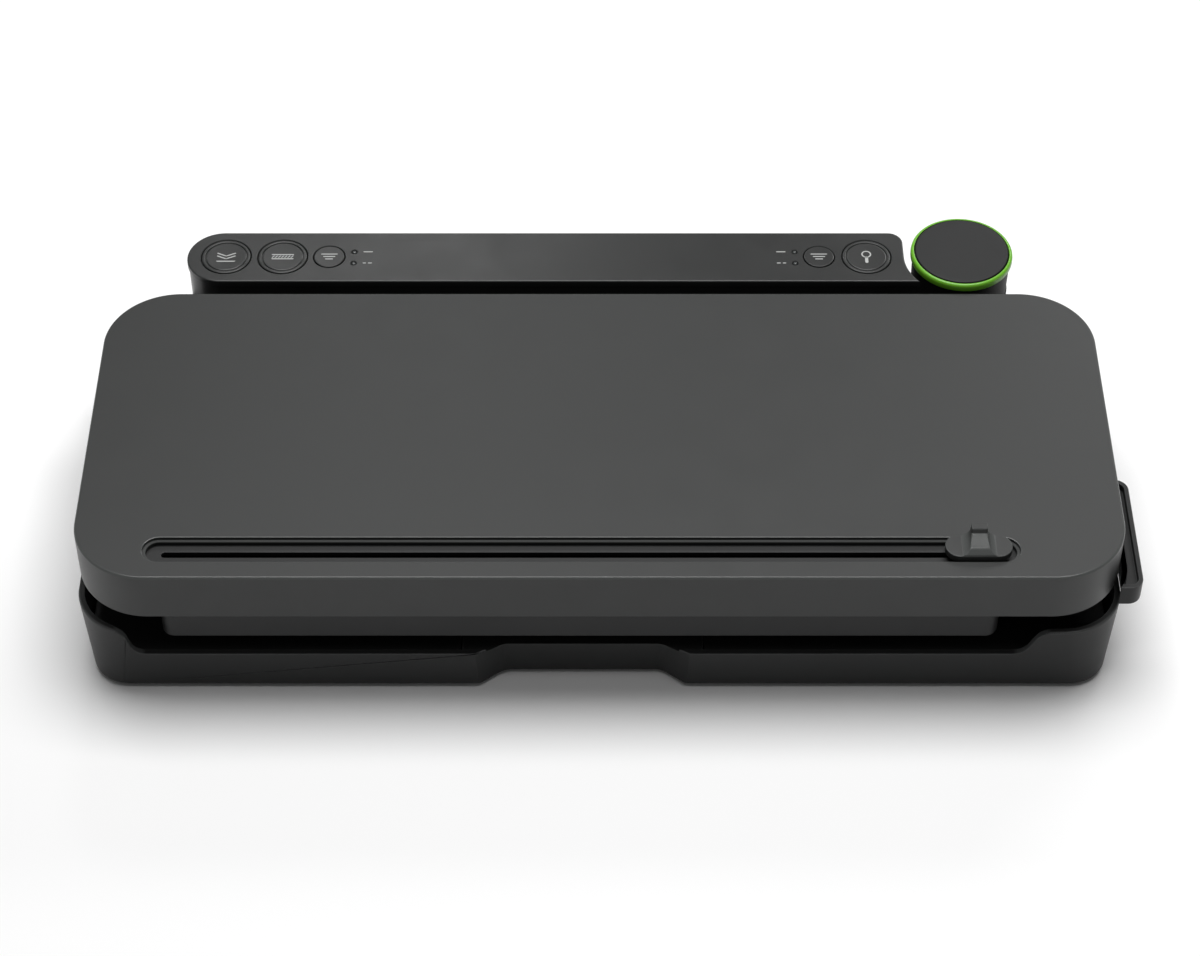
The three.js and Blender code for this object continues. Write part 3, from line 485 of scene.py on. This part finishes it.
def gasket_ring(inset, z0, z1, swell=0.0):
    """The seal's loop. Swell rounds its free edges."""
    far = 5.0 - inset

    def loop(shift, grow):
        return rectangle(-160 + shift + grow, 34 + shift + grow, 142 - shift - grow, 77 - shift - grow,
                         10 - shift - grow)

    outer = lambda grow: loop(inset, grow)
    inner = lambda grow: loop(far, -grow)
    if swell <= 0.0:
        return cut(plate(outer(0), z0, z1), plate(inner(0), z0 - 1, z1 + 1))
    wall = [(swell, z0), (0.0, z0 + swell), (0.0, z1 - swell), (swell, z1)]
    hole = [(inner(g), z) for g, z in wall]
    hole = [(inner(swell), z0 - 1)] + hole + [(inner(swell), z1 + 1)]
    return cut(loft([(outer(g), z) for g, z in wall]), loft(hole))


def lid_inner():
    top = LID_EDGE + 2.8
    skirt = lambda inset: rectangle(
        SKIRT[0] + inset, SKIRT[1] + inset, SKIRT[2] - inset, SKIRT[3] - inset, 5 - inset / 2, 14)
    body = plate(lid_outline(LID_WALL + 0.3), LID_EDGE + 0.5, top)
    lip = loft([
        (skirt(0.6), SKIRT_EDGE), (skirt(0.18), SKIRT_EDGE + 0.18), (skirt(0), SKIRT_EDGE + 0.6),
        (skirt(0), top),
    ])
    parts = [lip]
    lug = rounded([
        (HINGE_Y - 4.6, LID_EDGE + 0.5), (HINGE_Y + 4.6, LID_EDGE + 0.5),
        (HINGE_Y + 4.6, HINGE_Z + 4.6, 4.4), (HINGE_Y - 4.6, HINGE_Z + 4.6, 4.4),
    ])
    for x in (-HINGE_X - 11, -HINGE_X + 11, HINGE_X - 11, HINGE_X + 11):
        parts.append(bar_x(lug, x - 2, x + 2))
    for x in (-HOOK_X, HOOK_X):
        parts.append(box(x - 4, x + 4, 66, 68.5, 31.5, top))
        parts.append(box(x - 4, x + 4, 66, 79, 31.5, 33.5))
    join(body, *parts)
    bores = [rod_x(HINGE_Y, HINGE_Z, PIN_BORE, x - 15, x + 15) for x in (-HINGE_X, HINGE_X)]
    return cut(
        body,
        plate(skirt(2.5), SKIRT_EDGE + 5.5, top + 1),
        plate(rectangle(-152, 42, 134, 69, 4), SKIRT_EDGE - 1, SKIRT_EDGE + 3),
        gasket_ring(0, SKIRT_EDGE - 1, SKIRT_EDGE + 2.2),
        box(-158, 140, SEAL_Y - 3.5, SEAL_Y + 3.5, SKIRT_EDGE - 1, SKIRT_EDGE + 2.2),
        box(SLOT[0] + 8, SKIRT[2] - 1.6, CUTTER_Y - 2, CUTTER_Y + 2, SKIRT_EDGE - 1, top + 1),
        *hinge_notches(LID_EDGE - 1, top + 1),
        *bores,
    )


show(lid_shell(), "lid_shell", angle=34)
show(lid_inner(), "lid_inner", 0.25, 2)
show(gasket_ring(0.3, SKIRT_EDGE - 0.8, SKIRT_EDGE + 1.9, 0.9), "upper_gasket", 0.2, 2)
show(gasket_ring(0.3, 18.5, 22.4, 1.1), "lower_gasket", 0.25, 2)
show(box(-157, 139, SEAL_Y - 3, SEAL_Y + 3, SKIRT_EDGE - 0.3, SKIRT_EDGE + 1.9), "seal_pad", 0.7, 4)
show(box(-157.5, 139.5, SEAL_Y - 3.6, SEAL_Y + 3.6, 12.3, 20.6), "seal_bar", 0.5, 3)

# ---- Cutter ----

SLIDER_X = 143.0
GRIP_LEVELS = [  # rise above the lid, half-width, front
    (1.6, 7.0, 9.0), (2.2, 6.7, 9.05), (2.5, 6.1, 9.1), (2.8, 5.5, 9.3), (3.2, 4.85, 9.85),
    (3.7, 4.3, 10.4), (4.2, 3.9, 11.0), (4.7, 3.6, 12.1), (5.3, 3.35, 13.5), (5.9, 3.2, 14.9),
    (6.25, 3.13, 15.7),
    (6.5, 3.1, 16.25), (6.8, 3.1, 16.75), (8.3, 3.1, 16.95), (8.62, 3.08, 17.05), (8.8, 2.9, 17.3),
]


def cutter_slider():
    half = 12.7
    shape = lambda inset: stadium(
        SLIDER_X - half + inset, SLIDER_X + half - inset, CUTTER_Y, 11.3 - 2 * inset, 30)
    body = loft([(shape(0.3), LID_TOP - 0.9), (shape(0.0), LID_TOP - 0.6)]
                + rounded_top(shape, LID_TOP - 0.5, LID_TOP + 2.2, 0.35, 4))
    grip = []
    for rise, width, front in GRIP_LEVELS:
        rear = 20.0 if rise < 8.7 else 19.75
        grip.append((rectangle(SLIDER_X - width, front, SLIDER_X + width, rear, 0.45, 4), LID_TOP + rise))
    neck = box(SLIDER_X - 4, SLIDER_X + 4, CUTTER_Y - 0.9, CUTTER_Y + 0.9, LID_TOP - 7, LID_TOP)
    return join(body, loft(grip), neck)


def cutter_rail():
    outline = stadium(SLOT[0] - 3, SLOT[1] + 3, CUTTER_Y, 19, 20)
    return cut(plate(outline, LID_TOP - 5.4, LID_TOP - 3.1),
               plate(stadium(SLOT[0] + 7, SLOT[1] - 5, CUTTER_Y, 2.6, 10), LID_TOP - 6, LID_TOP))


show(cutter_slider(), "cutter_slider", angle=30)
show(cutter_rail(), "cutter_rail", 0.3, 2)

# ---- Base ----

RIM_TOP = 34.0
TUB_BOTTOM = 2.0
TUB_FLOOR = 4.6
TUB_WALL = 2.6
ENTRY_TOP = 21.1
RECESS_BACK = 12.4
RECESS_TOP = 19.7
PLINTH_TOP = 23.0
DECK_TOP = 20.0
MOTOR_Y = 179.2
SHAFT_Y, SHAFT_Z = 88, 24  # the latch's shaft across the base
CORD_X, CORD_Z = 60, 11  # the cord's inlet in the rear wall
FEET = [(-170, 22), (170, 22), (-170, 174), (170, 174)]
SCREWS = [(-186, 112), (-62, 112), (62, 112), (186, 112)]
# Each well in the deck: left, right, front, rear, floor
TRAY_WELL = (-148, 130, 40, 71, 7.6)
SEAL_WELL = (-158, 140, SEAL_Y - 4, SEAL_Y + 4, 12)
BLADE_WELL = (-164, 150, CUTTER_Y - 1.2, CUTTER_Y + 1.2, 14.6)
WELLS = (TRAY_WELL, SEAL_WELL, BLADE_WELL)


def tub_outline(z, inset, segments=24):
    t = (z - TUB_BOTTOM) / (RIM_TOP - TUB_BOTTOM)
    mix = lambda a, b: a + (b - a) * t
    width = mix(198.0, 201.7) - inset
    front, rear = mix(2.0, 0.4) + inset, mix(198.0, 201.0) - inset
    return rectangle(-width, front, width, rear, mix(15, 24) - inset, segments)


def entry_cut():
    """The wide low opening in the front wall, with a soft step at each end."""
    return bar_y(rounded([
        (-178.5, ENTRY_TOP, 6), (163, ENTRY_TOP, 7), (169, RIM_TOP, 7), (176, RIM_TOP), (176, RIM_TOP + 3),
        (-189.5, RIM_TOP + 3), (-189.5, RIM_TOP), (-182.5, RIM_TOP, 6),
    ], 16), -2, 26)


def base_tub():
    outer = loft([
        (tub_outline(2, 0.8), 2), (tub_outline(2.24, 0.24), 2.24), (tub_outline(2.8, 0), 2.8),
        (tub_outline(RIM_TOP - 0.7, 0), RIM_TOP - 0.7), (tub_outline(RIM_TOP, 0.6), RIM_TOP),
    ])
    body = cut(outer, loft([(tub_outline(z, TUB_WALL), z) for z in (TUB_FLOOR, RIM_TOP + 2)]))
    cradles = [box(x, x + 4, MOTOR_Y - 9, MOTOR_Y + 9, TUB_FLOOR - 1, z) for x, z in (
        (-50, 12.5), (-32, 12.5), (14, 11.7), (34, 11.7), (64, 11.7), (-166, 7.7), (-100, 7.7))]
    join(body, box(-53, 40, 3, RECESS_BACK, TUB_BOTTOM, RECESS_TOP), *cradles)
    recess = lambda y: rounded([(-57, -4), (44, -4), (35, 1, 3), (24, y, 8), (-37, y, 8), (-48, 1, 3)], 14)
    tools = [
        entry_cut(), loft([(recess(9.6), 1), (recess(7.4), RECESS_TOP), (recess(7.4), RIM_TOP)]),
        box(-203, 203, 160, 202, PLINTH_TOP, RIM_TOP + 3),
        rod_x(SHAFT_Y, SHAFT_Z, 5.2, 193.7, 203.7),
        rod_y(CORD_X, CORD_Z, 5.5, 193, 202),
    ]
    for x, y in SCREWS:
        tools += [disc(x, y, 2, 1, 5.6, 32), disc(x, y, 4, 1, 3.7, 40)]
    tools += [disc(x, y, 8.3, 1, 3.2, 48) for x, y in FEET]
    tools += [box(-150 + 9 * i, -146 + 9 * i, 189, 202, 9, 19) for i in range(9)]
    return cut(body, *tools)


def base_deck():
    z0 = DECK_TOP - 2.4
    outline = tub_outline(z0, TUB_WALL + 0.3)
    body = plate(outline, z0, DECK_TOP)
    plinth = overlap(plate(outline, z0, PLINTH_TOP), box(-200, 200, 160.5, 201, 0, 40))
    parts = [box(-190, 190, 80, 98, z0, 30), plinth]
    parts += [box(x0 - 2.2, x1 + 2.2, y0 - 2.2, y1 + 2.2, z - 2.2, z0 + 0.1)
              for x0, x1, y0, y1, z in WELLS]
    parts += [disc(x, y, 4.4, TUB_FLOOR + 0.3, z0 + 0.1, 32) for x, y in SCREWS]
    join(body, *parts)
    tools = [box(x0, x1, y0, y1, z, DECK_TOP + 1) for x0, x1, y0, y1, z in WELLS]
    tools += [
        gasket_ring(0, DECK_TOP - 1.8, DECK_TOP + 1),
        box(-186, 186, 82.4, 95.6, z0 - 1, 28),
        rod_x(SHAFT_Y, SHAFT_Z, 4.3, -191, 191),
        box(-181, -171, 79, 93, 25, 31), box(171, 181, 79, 93, 25, 31),
        box(-53.4, 40.4, -1, RECESS_BACK + 0.3, TUB_FLOOR, DECK_TOP + 1),
        box(-158, 118, 167, 191, z0 - 9, PLINTH_TOP + 1),
        disc(150, 179.5, 5, z0 - 1, PLINTH_TOP + 1),
    ]
    tools += [disc(x, y, 1.8, TUB_FLOOR, z0 - 2, 24) for x, y in SCREWS]
    return cut(body, *tools)


def drip_tray():
    x0, x1, y0, y1, z = TRAY_WELL
    top = DECK_TOP - 0.8
    body = loft([(rectangle(x0 + 3, y0 + 2.4, x1 - 3, y1 - 2.4, 3), z + 0.3),
                 (rectangle(x0 + 0.6, y0 + 0.6, x1 - 0.6, y1 - 0.6, 3), top)])
    cut(body, loft([(rectangle(x0 + 4.6, y0 + 4, x1 - 4.6, y1 - 4, 2.5), z + 1.7),
                    (rectangle(x0 + 2.2, y0 + 2.2, x1 - 2.2, y1 - 2.2, 2.5), top + 0.2)]))
    return join(body, plate(rectangle(x1 - 14, 50, x1 - 1.5, 61, 1.5), top - 1.6, top))


show(base_tub(), "base_tub", 0.45, 3, 32)
show(base_deck(), "base_deck", 0.25, 2)
show(drip_tray(), "drip_tray", 0.3, 2)

# ---- Control tower ----

PANEL_FRONT, PANEL_REAR, PANEL_LEFT = 164.2, 194.2, -171.0
DOCK_X, DOCK_Y = 150.0, 179.5
BUTTON_Y = 179.2
COVER_BOTTOM = LID_TOP - 3.1
BUTTONS = [  # name, X, radius, radius of the cap inside its raised ring
    ("vacuum_button", -154.8, 10.1, 8.3), ("seal_button", -131.4, 10.1, 8.3),
    ("food_mode_button", -112.1, 6.3, 0.0), ("task_mode_button", 91.0, 6.2, 0.0),
    ("handheld_button", 110.7, 10.0, 8.2),
]
LIGHTS = [(-101.8, 182.2), (-101.8, 175.3), (81.0, 182.2), (81.0, 175.3)]
BUTTON_TOP = LID_TOP + 0.15
CAP_TOP = BUTTON_TOP - 0.16  # a large key's dished cap, where its sign is printed
PRINT_SUNK, PRINT_PROUD = 0.02, 0.025
LINE = 0.55  # a sign's usual line width


def panel_outline(inset):
    """A full round at the left; at the right a rounded corner and a hollow round the handheld sealer."""
    middle, radius = (PANEL_FRONT + PANEL_REAR) / 2, (PANEL_REAR - PANEL_FRONT) / 2 - inset
    points = []
    for k in range(33):
        angle = pi / 2 + pi * k / 32
        points.append((PANEL_LEFT + inset + radius + radius * cos(angle), middle + radius * sin(angle)))
    hollow = 23.7 + inset
    start = asin((PANEL_FRONT + inset - DOCK_Y) / hollow)
    for k in range(17):
        angle = start * (1 - k / 16)
        points.append((DOCK_X - hollow * cos(angle), DOCK_Y + hollow * sin(angle)))
    right, corner = DOCK_X - hollow, 6.0 - inset
    for k in range(13):
        angle = pi / 2 * k / 12
        points.append((right - corner + corner * cos(angle),
                       PANEL_REAR - inset - corner + corner * sin(angle)))
    return points


def panel_cover():
    low = [(panel_outline(0.3), COVER_BOTTOM), (panel_outline(0.08), COVER_BOTTOM + 0.1)]
    body = loft(low + rounded_top(panel_outline, COVER_BOTTOM + 0.35, LID_TOP, 0.6, 5))
    cut(body, plate(panel_outline(3), COVER_BOTTOM - 1, LID_TOP - 2.4))
    join(body, *[disc(x, 188, 2.2, 51.9, LID_TOP - 1, 32) for x in (-90, -20, 50, 75)])
    tools = []
    for _, x, radius, _ in BUTTONS:
        tools.append(revolve([
            (0, 60), (radius + 0.4, 60), (radius + 0.4, LID_TOP - 0.25), (radius + 0.65, LID_TOP),
            (radius + 0.65, LID_TOP + 1), (0, LID_TOP + 1),
        ], x, BUTTON_Y))
    for x, y in LIGHTS:
        tools.append(revolve([(0, 60), (1.2, 60), (1.2, LID_TOP - 0.3), (1.5, LID_TOP), (1.5, LID_TOP + 1),
                              (0, LID_TOP + 1)], x, y, 32))
    return cut(body, *tools)


def panel_housing():
    body = plate(panel_outline(0.5), PLINTH_TOP + 0.3, COVER_BOTTOM - 0.3)
    return cut(body, plate(panel_outline(2.7), PLINTH_TOP - 1, LID_TOP))


def button(x, radius, cap):
    """A key on its stem. A large key has a groove that parts its shallow dished cap from a raised ring."""
    top = BUTTON_TOP
    if cap:
        face = [
            (0, top - 0.18), (cap * 0.5, top - 0.15), (cap - 0.5, top - 0.06), (cap - 0.15, top - 0.08),
            (cap, top - 0.2), (cap + 0.02, top - 0.6), (cap + 0.3, top - 0.6), (cap + 0.34, top - 0.2),
            (cap + 0.5, top - 0.03), (cap + 0.75, top), (radius - 0.6, top), (radius - 0.3, top - 0.05),
            (radius - 0.1, top - 0.2), (radius, top - 0.45),
        ]
    else:
        face = [
            (0, top - 0.08), (radius * 0.6, top - 0.06), (radius - 0.4, top), (radius - 0.12, top - 0.1),
            (radius, top - 0.35),
        ]
    skirt = [(radius, 63.1), (radius + 1, 63.1), (radius + 1, 62.3), (0, 62.3)]
    return join(revolve(face + skirt, x, BUTTON_Y), disc(x, BUTTON_Y, 2.6, 56.3, 62.5, 32))


def stroke(x, y, points, width):
    """The outlines of a printed line: one straight stroke with round ends for each pair of points."""
    bars = []
    for (x0, y0), (x1, y1) in zip(points, points[1:]):
        along = Vector((x1 - x0, y1 - y0))
        length, unit = along.length, along.normalized()
        outline = []
        for end, sign in (((x1, y1), 1), ((x0, y0), -1)):
            for angle in range(-90, 91, 30):
                c, s = cos(radians(angle)), sin(radians(angle))
                outline.append((x + end[0] + sign * width / 2 * (unit.x * c - unit.y * s),
                                y + end[1] + sign * width / 2 * (unit.y * c + unit.x * s)))
        bars.append(outline)
    return bars


def printed(name, node, height, lines, rings=()):
    """Pale print on a node's face: plates that stand a few hundredths of a millimetre proud."""
    low, high = height - PRINT_SUNK, height + PRINT_PROUD
    parts = [plate(outline, low, high) for outline in lines]
    for x, y, radius, width in rings:
        section = [(radius, low), (radius + width, low), (radius + width, high), (radius, high)]
        parts.append(revolve(section + section[:1], x, y, 40))
    work = bmesh.new()
    for part in parts:
        work.from_mesh(part.data)
        mesh = part.data
        bpy.data.objects.remove(part)
        bpy.data.meshes.remove(mesh)
    mesh = bpy.data.meshes.new(name)
    work.to_mesh(mesh)
    work.free()
    obj = bpy.data.objects.new(name, mesh)
    bpy.context.scene.collection.objects.link(obj)
    mesh.materials.append(LOOKS["print"])
    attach(obj, BODY_OF[node])


show(panel_cover(), "panel_cover", angle=30)
show(panel_housing(), "panel_housing", 0.2, 2)
for name, x, radius, cap in BUTTONS:
    show(button(x, radius, cap), name, angle=40)

# The keys' generic signs: pump, seam, three lines, and a round head on a stem.
KEY_X = {name: x for name, x, _, _ in BUTTONS}
x = KEY_X["vacuum_button"]
pump = stroke(x, BUTTON_Y + 0.6, [(-3.6, 1.5), (0, -0.2), (3.6, 1.5)], LINE)
pump += stroke(x, BUTTON_Y + 0.6, [(-3.6, -0.2), (0, -1.9), (3.6, -0.2)], LINE)
pump += stroke(x, BUTTON_Y, [(-4.6, -2.8), (4.6, -2.8)], LINE)
printed("vacuum_sign", "vacuum_button", CAP_TOP, pump)
seam = []
for y in (1.3, -1.3):
    seam += stroke(KEY_X["seal_button"], BUTTON_Y, [(-4.6, y), (4.6, y)], LINE)
for step in range(-3, 4):
    stitch = [(step * 1.3 - 0.4, -0.5), (step * 1.3 + 0.4, 0.5)]
    seam += stroke(KEY_X["seal_button"], BUTTON_Y, stitch, 0.4)
printed("seal_sign", "seal_button", CAP_TOP, seam)
for name in ("food_mode_button", "task_mode_button"):
    lines = []
    for half, y in ((3.2, 1.5), (2.3, 0.0), (1.4, -1.5)):
        lines += stroke(KEY_X[name], BUTTON_Y, [(-half, y), (half, y)], 0.5)
    printed(name + "_sign", name, BUTTON_TOP - 0.06, lines)
x = KEY_X["handheld_button"]
stem = stroke(x, BUTTON_Y, [(0, -0.4), (0, -3.2)], 1.3)
printed("handheld_sign", "handheld_button", CAP_TOP, stem, [(x, BUTTON_Y + 1.5, 1.5, LINE)])
marks = []
for side, x in ((1, -101.8), (-1, 81.0)):
    for distance, y, length in ((4.0, 182.2, 3.4), (4.0, 175.3, 0.9), (6.2, 175.3, 1.2)):
        marks += stroke(x + side * distance, y, [(0, 0), (side * length, 0)], 0.5)
printed("light_signs", "panel_cover", LID_TOP, marks)

# ---- Latch, hinges and small parts ----


def latch_lever():
    inner, front, rear, outer = 202.1, 12.0, 69.5, 208.0
    low, top = 37.7, 47.0
    corner_x, corner_y, corner_radius = 177.7, 24.4, 24  # the base's rounded corner

    def beside_base(clearance, start):
        """The edge along the base's rounded corner, from its straight side to the lever's front end."""
        steps = [start + (corner_y - start) * k / 14 for k in range(14, -1, -1)]
        reach = corner_radius + clearance
        return [(corner_x + (reach ** 2 - (corner_y - y) ** 2) ** 0.5, y) for y in steps]

    rim = rounded([(outer, front, 5.5), (outer, rear, 5.5), (inner, rear), *beside_base(0.4, front)], 20)
    dish = rounded([(outer - 1.8, front + 2, 3.4), (outer - 1.8, rear - 2, 3.4), (inner + 0.5, rear - 2),
                    *beside_base(0.9, front + 2)], 20)
    cup = cut(plate(rim, low, top), plate(dish, top - 3, top + 1))
    arm = rounded([(54, 38.5), (63.5, 42), (90, 31, 4), (94, 20, 4), (84, 17, 4), (80, 26, 5)], 8)
    beside = [*beside_base(1.6, 18)[::-1], (inner + 1.2, 60), (inner, 60), *beside_base(0.4, 18)]
    wall = plate(beside, 31, low + 1)
    join(cup, wall, bar_x(arm, 202.4, 206.4), rod_x(SHAFT_Y, SHAFT_Z, 8, 202.4, 206.4, 72))
    return cut(cup, rod_x(SHAFT_Y, SHAFT_Z, 4.3, 201.4, 205.2))


def hinge_bracket(x):
    body = join(rod_x(HINGE_Y, HINGE_Z, 4.6, x - 5, x + 5),
                box(x - 5, x + 5, HINGE_Y - 4.5, HINGE_Y + 4.5, 20.3, HINGE_Z),
                box(x - 9, x + 9, HINGE_Y - 9, HINGE_Y + 9, 20.3, 23))
    return cut(body, rod_x(HINGE_Y, HINGE_Z, PIN_BORE, x - 6, x + 6))


def cord_gland():
    body = join(rod_y(CORD_X, CORD_Z, 5.2, 194, 200), rod_y(CORD_X, CORD_Z, 7, 199.8, 201))
    return cut(body, rod_y(CORD_X, CORD_Z, 3.4, 193, 202))


show(latch_lever(), "latch_lever", 0.4, 3, 32)
show(hinge_bracket(-HINGE_X), "hinge_bracket_left", 0.3, 2)
show(hinge_bracket(HINGE_X), "hinge_bracket_right", 0.3, 2)
show(cord_gland(), "cord_gland", 0.3, 2)
for number, (x, y) in enumerate(FEET, 1):
    show(revolve([
        (0, 0), (6.5, 0), (6.9, 0.1), (7.5, 0.6), (7.8, 1.2), (8, 1.9), (8, 2.9), (0, 2.9),
    ], x, y, 48), f"foot_{number}", angle=30)
for number, (x, y) in enumerate(LIGHTS, 1):
    show(revolve([
        (0, 63.2), (0.9, 63.2), (0.9, 65.6), (0.75, 65.9), (0.45, 66.06), (0, LID_TOP + 0.1),
    ], x, y, 32), f"status_light_{number}", angle=50)

# ---- Handheld sealer ----

show(revolve([
    (0, 28), (16.2, 28), (16.9, 28.5), (17.6, 30), (17.6, 50.4), (17.8, 50.7), (19.6, 51.1), (19.9, 51.4),
    (20.2, 64.7), (20.0, 65.0), (19.2, 65.1), (19.2, 66.4), (0, 66.4),
], DOCK_X, DOCK_Y, 144), "handheld_body", angle=35)
show(revolve([
    (5.2, 23.3), (20.3, 23.3), (20.3, 50.0), (20.1, 50.2), (18.4, 50.2), (18.2, 50.0), (18.2, 25.5),
    (5.2, 25.5), (5.2, 23.3),
], DOCK_X, DOCK_Y, 120), "handheld_dock", angle=35)
show(revolve([
    (19.65, 65.4), (20.6, 65.4), (20.95, 65.55), (21.1, 65.9), (21.1, 67.3), (21.0, 67.9), (20.75, 68.35),
    (20.4, 68.6), (20.0, 68.7), (19.75, 68.65), (19.65, 68.4), (19.65, 65.4),
], DOCK_X, DOCK_Y, 144), "handheld_ring", angle=45)
show(revolve([
    (0, 66.7), (19.35, 66.7), (19.35, 68.5), (19.2, 68.8), (18.9, 69.0), (18.4, 69.05), (10, 69.12),
    (0, 69.15),
], DOCK_X, DOCK_Y, 144), "handheld_cap", angle=40)

for node, obj in frame["nodes"].items():
    obj.data.materials.clear()
    obj.data.materials.append(LOOKS[SLOT_OF[node]])
